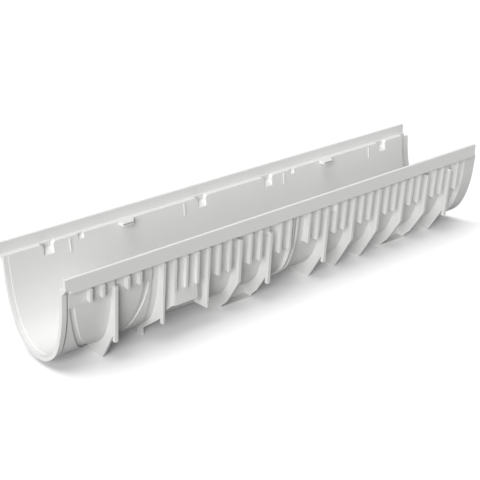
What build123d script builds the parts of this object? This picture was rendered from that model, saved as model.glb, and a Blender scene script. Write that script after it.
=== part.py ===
from math import cos, radians, sin, tan
import os

from build123d import *

# Drainage channel body, moulded in one piece, open at the top and at both ends.
# X runs along the channel, Y across it and Z up. The feet stand on Z = 0 and the
# origin is under the middle of the overall length. Depths are below the rims, and
# setbacks are measured in from the outer faces of the rims.

# Overall sizes
rim_length = 1000
overall_width = 200
overall_height = 184

# Rims and the grating seat between them
rim_thickness = 5.6
rim_depth = 25
seat_depth = 19
seat_width = 13.4
seat_thickness = 3.5

# Wall of the trough: round bowl, bowed sides, nearly upright at the seat
wall = 3.5
bowl_clearance = 16.5
bowl_lean = 25
side_lean = 5
side_radius = 220

# Plug-in collar at the near end
collar_length = 8.6
collar_rise = 4.5
collar_thickness = 7
collar_rim_depth = 18
collar_chamfer = 10.5
joint_overlap = 12

# Bell at the far end, which takes the collar of the next channel
bell_lead = 22
bell_setback = 6
bell_bottom = 8
bell_thickness = 3.5
bell_flange = 4
bell_top_depth = 26.5

# Stiffening ribs on one pitch: thin webs with a thicker flange on the outer edge
ribs_per_module = 21
rib_setback = 2
rib_lean = 4.6
rib_corner_depth = 27
rib_corner_drop = 4
flange_width = 7
tooth_bottom_depth = 88
tooth_thickness = 3.2
tooth_flange_thickness = 4.8
short_tooth_bottom_depth = 52

# Transverse frames that carry the feet, some with a post below the flange
frame_thickness = 4.4
frame_flange_thickness = 6
frame_flange_depth = 130
frame_shoulder_depth = 117.5
frame_shoulder_radius = 15
post_depth = 142
foot_setback = 51
foot_radius = 5

# Foot strips that tie two frames, each with a web up to the bowl
strip_setback = 57
strip_width = 20
strip_thickness = 3
strip_web_thickness = 3
strip_corner_height = 5
strip_corner_radius = 4
heel_setback = 42
heel_height = 18.5
heel_radius = 12

# Rib numbers counted from the middle rib, and how low each frame starts
tooth_numbers = [-13, -12, -11, -10, -9, -8, -7, -5, -4, -2, -1]
tooth_numbers += [1, 2, 4, 5, 7, 8, 10, 11, 13, 14, 16, 17, 19]
short_tooth_numbers = [-19, -18, -16, -15]
frame_tops = {-17: 40, -6: 34, -3: 40, 3: 28, 6: 28, 9: 28, 12: 28, 15: 34, 18: 38}
post_numbers = [-17, -3, 3, 18]
strip_numbers = [(-6, -3), (12, 15)]
outlet_numbers = [-13, -9]

# Ring ribs round the trough in the middle of the length
ring_offset = 7.5
ring_spacing = 10
ring_thickness = 3
ring_setback = 6
ring_bottom = 14.5

# Side outlet that can be cut out: a raised plate with a sunk band around it
branch_center = 91
branch_half_width = 80
branch_depth = 166
branch_groove = 10
branch_rise = 2.5
branch_top_depth = 56
branch_end = 172
apron_rise = 4

# Upright boss of the bottom outlet, between two ribs that reach down beside it
boss_shift = 3
boss_setback = 12
boss_depth = 117
boss_shoulder_setback = 27
boss_shoulder_depth = 133
outlet_web_thickness = 2.6
outlet_post_thickness = 3.6
outlet_web_top = 80
outlet_web_bottom = 143.5
saddle_start_depth = 133
saddle_end_depth = 171.5
saddle_middle_depth = 176
leg_inner = 15
leg_outer = 30

# Grating locks in the seat, placed from the middle of each module
lock_offset = 166
lock_length = 20
lock_reach = 8
lock_ramp_top = 10
lock_ramp_bottom = 22
lock_corner_radius = 5
slot_offset = -101
slot_length = 11
slot_reach = 4
slot_ramp_top = 5
slot_ramp_bottom = 13
pocket_wall = 2
bead_offset = 124
bead_width = 2.5
bead_rise = 1.5
bead_bottom_depth = 45
lug_start = -22
lug_tip_length = 22
lug_root_length = 33
lug_reach = 14
lug_height = 6
lug_groove_top = 1.8
lug_groove_height = 2
lug_groove_depth = 4

# Places worked out from the sizes above
near_end = -(rim_length + joint_overlap) / 2
rim_end = near_end + rim_length
far_end = rim_end + joint_overlap
middle = near_end + rim_length / 2
top = overall_height
seat = top - seat_depth
rib_top_depth = seat_depth + seat_thickness
half_width = overall_width / 2
seat_half_width = half_width - rim_thickness
bore_half_width = seat_half_width - seat_width
wall_half_width = bore_half_width + wall / cos(radians(side_lean))
strip_half_width = half_width - strip_setback
rib_pitch = rim_length / 2 / ribs_per_module
module_centers = [near_end + rim_length / 4, rim_end - rim_length / 4]


def trough(bowl_half_width, bottom, grow=0, level=seat):
    """Area inside a trough outline of a given half width at the seat, cut off flat at level."""
    start, end = radians(90 - bowl_lean), radians(90 - side_lean)
    width = bowl_half_width + grow / sin(end)
    height = seat - bottom + grow
    side = side_radius + grow
    side_width = side * (sin(end) - sin(start))
    side_height = side * (cos(start) - cos(end))
    bowl = width - side_width - (height - side_height) / tan(end)
    bowl = bowl / (sin(start) - (1 - cos(start)) / tan(end))
    with BuildSketch() as area:
        with BuildLine():
            bowl_arc = JernArc((0, bottom - grow), (1, 0), bowl, 90 - bowl_lean)
            side_arc = JernArc(bowl_arc @ 1, bowl_arc % 1, side, bowl_lean - side_lean)
            edge = Line(side_arc @ 1, (width, seat))
            Line(edge @ 1, (0, seat))
            mirror(about=Plane.YZ)
        make_face()
        with Locations((0, level)):
            Rectangle(2 * width, 2 * height, align=(Align.CENTER, Align.MAX), mode=Mode.INTERSECT)
    return area.sketch


def wall_line(grow=0, level=seat):
    """The trough's own outline, grown outwards from the wall's outer face."""
    return trough(wall_half_width, bowl_clearance, grow, level)


def both_sides(*points):
    """Area bounded by points on the positive side, from the middle plane and back to it."""
    with BuildSketch() as area:
        with BuildLine():
            Polyline(*points)
            mirror(about=Plane.YZ)
        make_face()
    return area.sketch


def rib_edge(depth):
    """Distance from the middle plane to the ribs' outer edge, at a depth."""
    return half_width - rib_setback - (depth - rim_depth) * tan(radians(rib_lean))


def blade(bottom_depth):
    """Outline of a rib web that ends level at bottom_depth, with its outer top corner cut off."""
    corner_end_depth = rib_corner_depth + rib_corner_drop
    return both_sides(
        (0, top - rib_top_depth),
        (seat_half_width, top - rib_top_depth),
        (seat_half_width, top - rib_corner_depth),
        (rib_edge(corner_end_depth), top - corner_end_depth),
        (rib_edge(bottom_depth), top - bottom_depth),
        (0, top - bottom_depth),
    )


def flange(top_depth, bottom_depth):
    """Outline of the flanges along the ribs' outer edges, between two depths."""
    with BuildSketch() as area:
        with BuildLine():
            Polyline(
                (rib_edge(top_depth), top - top_depth),
                (rib_edge(bottom_depth), top - bottom_depth),
                (rib_edge(bottom_depth) - flange_width, top - bottom_depth),
                (rib_edge(top_depth) - flange_width, top - top_depth),
                close=True,
            )
        make_face()
        mirror(about=Plane.YZ)
    return area.sketch


def blade_flange(bottom_depth):
    """The part of a rib web's outline that the flange covers."""
    with BuildSketch() as area:
        add(blade(bottom_depth))
        add(flange(rib_top_depth, bottom_depth), mode=Mode.INTERSECT)
    return area.sketch


def frame_outline(top_depth, on_strip):
    """Outline of a transverse frame, which ends in a foot or in heels on the foot strips."""
    shoulder = (rib_edge(frame_shoulder_depth), top - frame_shoulder_depth)
    corners = {0: foot_radius}
    base = [(half_width - foot_setback, 0)]
    if on_strip:
        corners = {strip_corner_height: strip_corner_radius, heel_height: heel_radius}
        base = [
            (strip_half_width, 0),
            (strip_half_width, strip_corner_height),
            (half_width - heel_setback, heel_height),
        ]
    corners[shoulder[1]] = frame_shoulder_radius
    with BuildSketch() as area:
        add(
            both_sides(
                (0, 0),
                *base,
                shoulder,
                (rib_edge(top_depth), top - top_depth),
                (0, top - top_depth),
            )
        )
        for height, radius in corners.items():
            fillet([v for v in area.vertices() if abs(v.Y - height) < 0.01], radius)
    return area.sketch


def frame_flange(top_depth, has_post, outline):
    """Flanges of a frame, which reach down as posts or end where the outline turns in."""
    if has_post:
        return flange(top_depth, post_depth)
    with BuildSketch() as area:
        add(outline)
        add(flange(top_depth, frame_flange_depth), mode=Mode.INTERSECT)
    return area.sketch


def outlet_web(*bottom):
    """Outline of the lower web of an outlet rib, down to the points of its bottom edge."""
    return both_sides(
        (0, top - outlet_web_top),
        (rib_edge(outlet_web_top), top - outlet_web_top),
        *bottom,
    )


def pocket(reach, ramp_top, ramp_bottom):
    """Pocket cut into the seat's inner edge, with a floor that slopes down to the bore."""
    return both_sides(
        (0, seat),
        (bore_half_width + reach, seat),
        (bore_half_width + reach, seat - ramp_top),
        (bore_half_width - wall, seat - ramp_bottom),
        (0, seat - ramp_bottom),
    )


def pocket_box(reach, ramp_bottom):
    """Box outside the wall that closes a pocket from behind and below."""
    with BuildSketch() as area:
        with Locations((0, top - rib_top_depth)):
            Rectangle(
                2 * (bore_half_width + reach + pocket_wall),
                ramp_bottom + pocket_wall - seat_thickness,
                align=(Align.CENTER, Align.MAX),
            )
    return area.sketch


def boss_plan(grow):
    """Plan of the boss: a flat face and two slanting ones on each side."""
    bay = (outlet_numbers[1] - outlet_numbers[0]) * rib_pitch
    face = half_width - boss_setback + grow
    with BuildSketch() as area:
        with BuildLine():
            Polyline(
                (bay / 2, 0),
                (bay / 2, half_width - boss_shoulder_setback + grow),
                (boss_shift + bay / 4, face),
                (boss_shift - bay / 4, face),
                (-bay / 2, half_width - boss_shoulder_setback + grow),
                (-bay / 2, 0),
            )
            mirror(about=Plane.XZ)
        make_face()
    return area.sketch


def cross_planes(places, thickness):
    """Planes across the channel, half a thickness before each place along it."""
    return [Plane.YZ.offset(place - thickness / 2) for place in places]


def rib_planes(numbers, thickness):
    return cross_planes([middle + number * rib_pitch for number in numbers], thickness)


# Cross-sections, seen along the channel with Y to the right
wall_area = wall_line()
bore_area = wall_line(-wall)
collar_area = wall_line(collar_rise)
collar_bore_area = wall_line(collar_rise - collar_thickness)
bell_half_width = half_width - bell_setback
bell_area = trough(bell_half_width, bell_bottom)
bell_bore_area = trough(bell_half_width, bell_bottom, -bell_thickness)
ring_area = trough(half_width - ring_setback, ring_bottom, 0, top - rib_top_depth)
branch_area = wall_line(branch_rise, top - branch_top_depth)
tooth_area = blade(tooth_bottom_depth)
tooth_flange_area = blade_flange(tooth_bottom_depth)
short_tooth_area = blade(short_tooth_bottom_depth)
short_tooth_flange_area = blade_flange(short_tooth_bottom_depth)
outlet_post_area = flange(outlet_web_top, post_depth)
lock_area = pocket(lock_reach, lock_ramp_top, lock_ramp_bottom)
lock_box_area = pocket_box(lock_reach, lock_ramp_bottom)
slot_area = pocket(slot_reach, slot_ramp_top, slot_ramp_bottom)
slot_box_area = pocket_box(slot_reach, slot_ramp_bottom)

frame_areas = {}
frame_flange_areas = {}
for frame, frame_top in frame_tops.items():
    on_strip = any(frame in pair for pair in strip_numbers)
    frame_areas[frame] = frame_outline(frame_top, on_strip)
    has_post = frame in post_numbers
    frame_flange_areas[frame] = frame_flange(frame_top, has_post, frame_areas[frame])

# Lower webs of the outlet ribs: the first follows the bowl down to two small legs
saddle_web_area = outlet_web(
    (rib_edge(post_depth), top - post_depth),
    (rib_edge(post_depth) - flange_width, top - post_depth),
    (rib_edge(saddle_start_depth) - flange_width, top - saddle_start_depth),
    (leg_outer, top - saddle_end_depth),
    (leg_outer, 0),
    (leg_inner, 0),
    (leg_inner, top - saddle_middle_depth),
    (0, top - saddle_middle_depth),
)
level_web_area = outlet_web(
    (rib_edge(outlet_web_bottom), top - outlet_web_bottom),
    (0, top - outlet_web_bottom),
)

with BuildSketch() as seat_section:
    with Locations((0, top)):
        Rectangle(overall_width, rib_top_depth, align=(Align.CENTER, Align.MAX))
    rim_middle = half_width - rim_thickness / 2
    with Locations((-rim_middle, top), (rim_middle, top)):
        Rectangle(rim_thickness, rim_depth, align=(Align.CENTER, Align.MAX))

collar_head_area = both_sides(
    (0, top - collar_rim_depth),
    (half_width, top - collar_rim_depth),
    (half_width - collar_chamfer, top - collar_rim_depth - collar_chamfer),
    (0, top - collar_rim_depth - collar_chamfer),
)

with BuildSketch() as apron:
    add(wall_line(apron_rise))
    with Locations((0, top)):
        Rectangle(overall_width, branch_top_depth, align=(Align.CENTER, Align.MAX), mode=Mode.INTERSECT)

with BuildSketch() as bead_section:
    add(bore_area)
    add(wall_line(-wall - bead_rise), mode=Mode.SUBTRACT)
    with Locations((0, top - rib_top_depth)):
        bead_length = bead_bottom_depth - rib_top_depth
        Rectangle(overall_width, bead_length, align=(Align.CENTER, Align.MAX), mode=Mode.INTERSECT)

# Sunk band of the side outlet, left outside the trough wall
with BuildPart() as branch_band:
    with BuildSketch(Plane.XZ):
        with Locations((near_end + branch_center, 0)):
            add(trough(branch_half_width, top - branch_depth))
            add(trough(branch_half_width, top - branch_depth, -branch_groove), mode=Mode.SUBTRACT)
        with Locations((near_end + branch_center, top - branch_top_depth)):
            Rectangle(2 * branch_half_width, top, align=(Align.CENTER, Align.MAX), mode=Mode.INTERSECT)
    extrude(amount=half_width, both=True)
    with BuildSketch(Plane.YZ.offset(near_end)):
        add(wall_area)
    extrude(amount=rim_length, mode=Mode.SUBTRACT)

# Skin of the upright boss, its lower edge sloping down towards the ribs beside it
with BuildPart() as boss:
    with BuildSketch(Plane.XY.offset(top - boss_shoulder_depth)):
        add(boss_plan(0))
        add(boss_plan(-wall), mode=Mode.SUBTRACT)
    extrude(amount=boss_shoulder_depth - rib_top_depth)
    with BuildSketch(Plane.YZ.offset(-rim_length)):
        boss_skin_half_width = half_width - boss_setback - wall
        add(
            both_sides(
                (0, top),
                (half_width, top),
                (half_width, top - boss_depth),
                (boss_skin_half_width, top - boss_depth),
                (half_width - boss_shoulder_setback, top - boss_shoulder_depth),
                (0, top - boss_shoulder_depth),
            )
        )
    extrude(amount=2 * rim_length, mode=Mode.INTERSECT)

with BuildPart() as channel:
    # Trough wall, solid until it is bored, with the rims and the seat on top of it
    with BuildSketch(Plane.YZ.offset(near_end)):
        add(wall_area)
        add(seat_section.sketch)
    extrude(amount=rim_length)

    # Near end: the rims are cut back over the collar
    with BuildSketch(Plane.YZ.offset(near_end)):
        with Locations((0, top - collar_rim_depth)):
            Rectangle(2 * overall_width, rim_depth, align=(Align.CENTER, Align.MAX))
        add(wall_area, mode=Mode.SUBTRACT)
    extrude(amount=collar_length, mode=Mode.SUBTRACT)
    with BuildSketch(Plane.YZ.offset(near_end)):
        add(collar_area)
        add(collar_head_area)
    extrude(amount=collar_length)

    # Far end: bell, joined to the rims and cut lower past them
    with BuildSketch(Plane.YZ.offset(rim_end - bell_lead)):
        add(bell_area)
        with Locations((0, seat)):
            Rectangle(overall_width, rim_depth - seat_depth, align=(Align.CENTER, Align.MAX))
    extrude(amount=bell_lead + joint_overlap)
    with BuildSketch(Plane.YZ.offset(rim_end)):
        with Locations((0, top)):
            Rectangle(overall_width, bell_top_depth, align=(Align.CENTER, Align.MAX))
    extrude(amount=joint_overlap, mode=Mode.SUBTRACT)

    # Raised wall of the side outlet and the apron above it
    with BuildSketch(Plane.YZ.offset(near_end + joint_overlap)):
        add(branch_area)
        add(apron.sketch)
    extrude(amount=branch_end - joint_overlap)
    add(branch_band.part, mode=Mode.SUBTRACT)

    # Boss of the bottom outlet
    boss_center = middle + sum(outlet_numbers) / 2 * rib_pitch
    with Locations((boss_center, 0, 0)):
        add(boss.part)

    # Rib teeth: webs, then their flanges
    with BuildSketch(*rib_planes(tooth_numbers, tooth_thickness)):
        add(tooth_area)
    extrude(amount=tooth_thickness)
    with BuildSketch(*rib_planes(tooth_numbers, tooth_flange_thickness)):
        add(tooth_flange_area)
    extrude(amount=tooth_flange_thickness)
    with BuildSketch(*rib_planes(short_tooth_numbers, tooth_thickness)):
        add(short_tooth_area)
    extrude(amount=tooth_thickness)
    with BuildSketch(*rib_planes(short_tooth_numbers, tooth_flange_thickness)):
        add(short_tooth_flange_area)
    extrude(amount=tooth_flange_thickness)

    # Transverse frames: webs, then their flanges
    for number in frame_tops:
        with BuildSketch(*rib_planes([number], frame_thickness)):
            add(frame_areas[number])
        extrude(amount=frame_thickness)
        with BuildSketch(*rib_planes([number], frame_flange_thickness)):
            add(frame_flange_areas[number])
        extrude(amount=frame_flange_thickness)

    # Foot strips between two pairs of frames, each with a web along its inner edge
    for first, last in strip_numbers:
        bay = (last - first) * rib_pitch
        bay_middle = middle + (first + last) / 2 * rib_pitch
        strip_middle = strip_half_width - strip_width / 2
        web_middle = strip_half_width - strip_width + strip_web_thickness / 2
        with BuildSketch(Plane.XY):
            with Locations((bay_middle, -strip_middle), (bay_middle, strip_middle)):
                Rectangle(bay + frame_thickness, strip_width)
        extrude(amount=strip_thickness)
        with BuildSketch(Plane.XY):
            with Locations((bay_middle, -web_middle), (bay_middle, web_middle)):
                Rectangle(bay, strip_web_thickness)
        extrude(amount=top / 2)

    # Lower webs and posts of the outlet ribs
    with BuildSketch(*rib_planes(outlet_numbers[:1], outlet_web_thickness)):
        add(saddle_web_area)
    extrude(amount=outlet_web_thickness)
    with BuildSketch(*rib_planes(outlet_numbers[1:], outlet_web_thickness)):
        add(level_web_area)
    extrude(amount=outlet_web_thickness)
    with BuildSketch(*rib_planes(outlet_numbers, outlet_post_thickness)):
        add(outlet_post_area)
    extrude(amount=outlet_post_thickness)

    # Ring ribs in the middle
    ring_places = [middle - ring_offset + side * ring_spacing / 2 for side in (-1, 1)]
    with BuildSketch(*cross_planes(ring_places, ring_thickness)):
        add(ring_area)
    extrude(amount=ring_thickness)

    # Boxes outside the wall behind the lock pockets and the slots
    lock_places = [c + side * lock_offset for c in module_centers for side in (-1, 1)]
    lock_box_length = lock_length + 2 * pocket_wall
    with BuildSketch(*cross_planes(lock_places, lock_box_length)):
        add(lock_box_area)
    extrude(amount=lock_box_length)
    slot_places = [c + slot_offset for c in module_centers]
    slot_box_length = slot_length + 2 * pocket_wall
    with BuildSketch(*cross_planes(slot_places, slot_box_length)):
        add(slot_box_area)
    extrude(amount=slot_box_length)

    # Bore, seat and the recesses at both ends
    with BuildSketch(Plane.YZ.offset(near_end)):
        add(bore_area)
        with Locations((0, seat)):
            Rectangle(2 * seat_half_width, 2 * seat_depth, align=(Align.CENTER, Align.MIN))
    extrude(amount=far_end - near_end, mode=Mode.SUBTRACT)
    with BuildSketch(Plane.YZ.offset(near_end)):
        add(collar_bore_area)
    extrude(amount=collar_length, mode=Mode.SUBTRACT)
    with BuildSketch(Plane.YZ.offset(rim_end - bell_lead + bell_flange)):
        add(bell_bore_area)
    extrude(amount=far_end, mode=Mode.SUBTRACT)

    # Lock pockets and slots with sloping floors, their upper corners rounded over
    with BuildSketch(*cross_planes(lock_places, lock_length)):
        add(lock_area)
    extrude(amount=lock_length, mode=Mode.SUBTRACT)
    with BuildSketch(*cross_planes(slot_places, slot_length)):
        add(slot_area)
    extrude(amount=slot_length, mode=Mode.SUBTRACT)
    corner_places = [x + side * lock_length / 2 for x in lock_places for side in (-1, 1)]
    lock_corners = [
        e
        for e in channel.edges().filter_by(Axis.Y)
        if abs(e.center().Z - seat) < 0.01
        and any(abs(e.center().X - place) < 0.01 for place in corner_places)
    ]
    fillet(lock_corners, lock_corner_radius)

    # Beads on the inner wall
    bead_places = [c + side * bead_offset for c in module_centers for side in (-1, 1)]
    with BuildSketch(*cross_planes(bead_places, bead_width)):
        add(bead_section.sketch)
    extrude(amount=bead_width)

    # Lugs that stop the grating, near the middle of each module, with a groove in the tip
    lug_tip = bore_half_width - lug_reach
    with BuildSketch(Plane.XY.offset(seat)):
        with Locations(*[(c, 0) for c in module_centers]):
            Polygon(
                (lug_start, bore_half_width + wall / 2),
                (lug_start, lug_tip),
                (lug_start + lug_tip_length, lug_tip),
                (lug_start + lug_root_length, bore_half_width + wall / 2),
                align=None,
            )
        mirror(about=Plane.XZ)
    extrude(amount=-lug_height)
    lug_tip_middle = lug_start + lug_tip_length / 2
    with BuildSketch(Plane.XY.offset(seat - lug_groove_top)):
        with Locations(*[(c + lug_tip_middle, s * lug_tip) for c in module_centers for s in (-1, 1)]):
            Rectangle(lug_root_length, 2 * lug_groove_depth)
    extrude(amount=-lug_groove_height, mode=Mode.SUBTRACT)

channel.part.label = "channel_body"

os.makedirs("parts", exist_ok=True)
export_step(channel.part, "parts/channel_body.step")
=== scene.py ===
import math

import bmesh
import bpy
from mathutils import Matrix, Vector


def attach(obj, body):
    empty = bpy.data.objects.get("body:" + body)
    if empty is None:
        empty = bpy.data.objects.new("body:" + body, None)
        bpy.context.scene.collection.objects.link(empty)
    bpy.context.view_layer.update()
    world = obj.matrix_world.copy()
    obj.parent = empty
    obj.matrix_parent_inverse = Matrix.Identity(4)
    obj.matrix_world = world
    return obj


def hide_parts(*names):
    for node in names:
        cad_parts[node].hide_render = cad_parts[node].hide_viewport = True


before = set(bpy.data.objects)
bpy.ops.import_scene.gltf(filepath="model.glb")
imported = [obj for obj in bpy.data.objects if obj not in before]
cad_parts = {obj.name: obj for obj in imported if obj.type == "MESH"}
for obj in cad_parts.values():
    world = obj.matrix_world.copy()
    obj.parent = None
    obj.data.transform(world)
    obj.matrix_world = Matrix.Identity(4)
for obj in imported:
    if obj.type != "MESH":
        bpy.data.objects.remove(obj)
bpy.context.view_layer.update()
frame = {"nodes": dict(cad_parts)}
print("frame loaded:", ", ".join(frame["nodes"]))


# camera, at the height and side the channel is seen from (metres, roll in degrees)
camera = {
    "lens": 81.18,  # millimetres
    "sensor": 36.0,
    "farthest": 60.0,
    "place": (-1.28487, -1.37092, 0.86652),
    "sight": (0.612341, 0.689267, -0.387233),
    "roll": -0.08,
}


def addCamera(s):
    data = bpy.data.cameras.new("viewCamera")
    data.lens = s["lens"]
    data.sensor_width = s["sensor"]
    data.clip_end = s["farthest"]
    obj = bpy.data.objects.new("viewCamera", data)
    bpy.context.scene.collection.objects.link(obj)
    turn = Vector(s["sight"]).to_track_quat("-Z", "Y").to_matrix().to_4x4()
    roll = Matrix.Rotation(math.radians(s["roll"]), 4, "Z")
    obj.matrix_world = Matrix.Translation(s["place"]) @ turn @ roll
    bpy.context.scene.camera = obj


addCamera(camera)
print("camera placed")


# floor, backdrop and soft light of the studio (spreads in degrees)
studio = {
    "floorSize": 24.0,
    "floorRoughness": 0.9,
    "floorColour": (0.95, 0.95, 0.95, 1.0),
    "floorBounce": (0.28, 0.28, 0.28, 1.0),  # what the floor throws back up
    "backdropColour": (1.0, 1.0, 1.0, 1.0),
    "backdrop": 1.0,  # how bright the space behind the floor looks
    "backdropLight": 0.05,  # how much of that falls on the channel
    "suns": {
        "skylight": {"from": (-0.35, 0.0, 0.93), "strength": 2.45, "spread": 45.0},
        "sideLight": {"from": (-0.75, -0.55, 0.34), "strength": 3.4, "spread": 36.0},
        "backLight": {"from": (0.5, 0.8, 0.35), "strength": 0.8, "spread": 50.0},
    },
}


def addFloor(s):
    mesh = bmesh.new()
    bmesh.ops.create_grid(mesh, x_segments=1, y_segments=1, size=s["floorSize"] / 2)
    data = bpy.data.meshes.new("studioFloor")
    mesh.to_mesh(data)
    mesh.free()
    floor = bpy.data.objects.new("studioFloor", data)
    bpy.context.scene.collection.objects.link(floor)
    mat = bpy.data.materials.new("studioFloor")
    mat.use_nodes = True
    nodes, links = mat.node_tree.nodes, mat.node_tree.links
    shader = nodes["Principled BSDF"]
    shader.inputs["Roughness"].default_value = s["floorRoughness"]
    path = nodes.new("ShaderNodeLightPath")
    seen = nodes.new("ShaderNodeMix")  # the floor looks paler than the light it throws back
    seen.data_type = "RGBA"
    seen.inputs["A"].default_value = s["floorBounce"]
    seen.inputs["B"].default_value = s["floorColour"]
    links.new(path.outputs["Is Camera Ray"], seen.inputs["Factor"])
    links.new(seen.outputs["Result"], shader.inputs["Base Color"])
    data.materials.append(mat)


def addSun(name, s):
    data = bpy.data.lights.new(name, "SUN")
    data.energy = s["strength"]
    data.angle = math.radians(s["spread"])
    obj = bpy.data.objects.new(name, data)
    bpy.context.scene.collection.objects.link(obj)
    obj.matrix_world = Vector(s["from"]).to_track_quat("Z", "Y").to_matrix().to_4x4()


def addBackdrop(s):
    world = bpy.data.worlds.new("studioWorld")
    bpy.context.scene.world = world
    world.use_nodes = True
    nodes, links = world.node_tree.nodes, world.node_tree.links
    path = nodes.new("ShaderNodeLightPath")
    strength = nodes.new("ShaderNodeMapRange")
    strength.inputs["To Min"].default_value = s["backdropLight"]
    strength.inputs["To Max"].default_value = s["backdrop"]
    links.new(path.outputs["Is Camera Ray"], strength.inputs["Value"])
    links.new(strength.outputs["Result"], nodes["Background"].inputs["Strength"])
    nodes["Background"].inputs["Color"].default_value = s["backdropColour"]


addFloor(studio)
addBackdrop(studio)
for name, settings in studio["suns"].items():
    addSun(name, settings)
bpy.context.scene.view_settings.view_transform = "Standard"
print("studio lit")


# moulded plastic of the channel body
plastic = {
    "colour": (0.66, 0.66, 0.65, 1.0),
    "cloudy": (0.63, 0.635, 0.627, 1.0),
    "cloudScale": 7.0,
    "cloudDetail": 3.0,
    "roughness": (0.40, 0.52),
    "grainScale": 900.0,
    "grainDetail": 2.0,
    "grainHeight": 0.00004,
}


def makePlastic(s):
    mat = bpy.data.materials.new("mouldedPlastic")
    mat.use_nodes = True
    nodes, links = mat.node_tree.nodes, mat.node_tree.links
    shader = nodes["Principled BSDF"]
    coords = nodes.new("ShaderNodeTexCoord")
    cloud = nodes.new("ShaderNodeTexNoise")
    cloud.inputs["Scale"].default_value = s["cloudScale"]
    cloud.inputs["Detail"].default_value = s["cloudDetail"]
    links.new(coords.outputs["Object"], cloud.inputs["Vector"])
    tint = nodes.new("ShaderNodeMix")
    tint.data_type = "RGBA"
    tint.inputs["A"].default_value = s["colour"]
    tint.inputs["B"].default_value = s["cloudy"]
    links.new(cloud.outputs["Fac"], tint.inputs["Factor"])
    links.new(tint.outputs["Result"], shader.inputs["Base Color"])
    gloss = nodes.new("ShaderNodeMapRange")
    gloss.inputs["To Min"].default_value, gloss.inputs["To Max"].default_value = s["roughness"]
    links.new(cloud.outputs["Fac"], gloss.inputs["Value"])
    links.new(gloss.outputs["Result"], shader.inputs["Roughness"])
    grain = nodes.new("ShaderNodeTexNoise")
    grain.inputs["Scale"].default_value = s["grainScale"]
    grain.inputs["Detail"].default_value = s["grainDetail"]
    links.new(coords.outputs["Object"], grain.inputs["Vector"])
    bump = nodes.new("ShaderNodeBump")
    bump.inputs["Distance"].default_value = s["grainHeight"]
    links.new(grain.outputs["Fac"], bump.inputs["Height"])
    links.new(bump.outputs["Normal"], shader.inputs["Normal"])
    return mat


bodyPlastic = makePlastic(plastic)


# channel body with the small rounded edges that the mould leaves (metres and degrees)
shell = {
    "weld": 0.000002,
    "flatAngle": 0.5,
    "radius": 0.0004,
    "steps": 2,
    "shortest": 0.0007,  # edges under this stay sharp
    "edgeAngle": (50, 130),
    "mostCorners": 4,
    "smoothAngle": 32,
}


def roundedShell(s):
    cad = frame["nodes"]["channel_body"]
    mesh = bmesh.new()
    mesh.from_mesh(cad.data)
    bmesh.ops.remove_doubles(mesh, verts=mesh.verts, dist=s["weld"])
    flat = math.radians(s["flatAngle"])
    bmesh.ops.dissolve_limit(mesh, angle_limit=flat, verts=mesh.verts, edges=mesh.edges)
    low, high = (math.radians(angle) for angle in s["edgeAngle"])
    edges = [
        e for e in mesh.edges
        if low < e.calc_face_angle_signed(0) < high and e.calc_length() > s["shortest"]
    ]
    print("edges rounded:", len(edges), "of", len(mesh.edges))
    bmesh.ops.bevel(
        mesh, geom=edges, offset=s["radius"], offset_type="OFFSET", affect="EDGES",
        segments=s["steps"], profile=0.5, material=-1, clamp_overlap=True,
    )
    bmesh.ops.dissolve_degenerate(mesh, dist=s["weld"], edges=mesh.edges)
    wide = [f for f in mesh.faces if len(f.verts) > s["mostCorners"]]
    bmesh.ops.triangulate(mesh, faces=wide)
    crease = math.radians(s["smoothAngle"])
    for face in mesh.faces:
        face.smooth = True
    for edge in mesh.edges:
        edge.smooth = abs(edge.calc_face_angle_signed(0)) < crease
    data = bpy.data.meshes.new("channelShell")
    mesh.to_mesh(data)
    mesh.free()
    piece = bpy.data.objects.new("channelShell", data)
    bpy.context.scene.collection.objects.link(piece)
    data.materials.append(bodyPlastic)
    # large faces shade flat, and only the roundings shade round
    flats = piece.modifiers.new("flatFaces", "WEIGHTED_NORMAL")
    flats.keep_sharp = True
    return piece


channelShell = roundedShell(shell)
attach(channelShell, "root")
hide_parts("channel_body")
print("channel shell made:", len(channelShell.data.polygons), "faces")
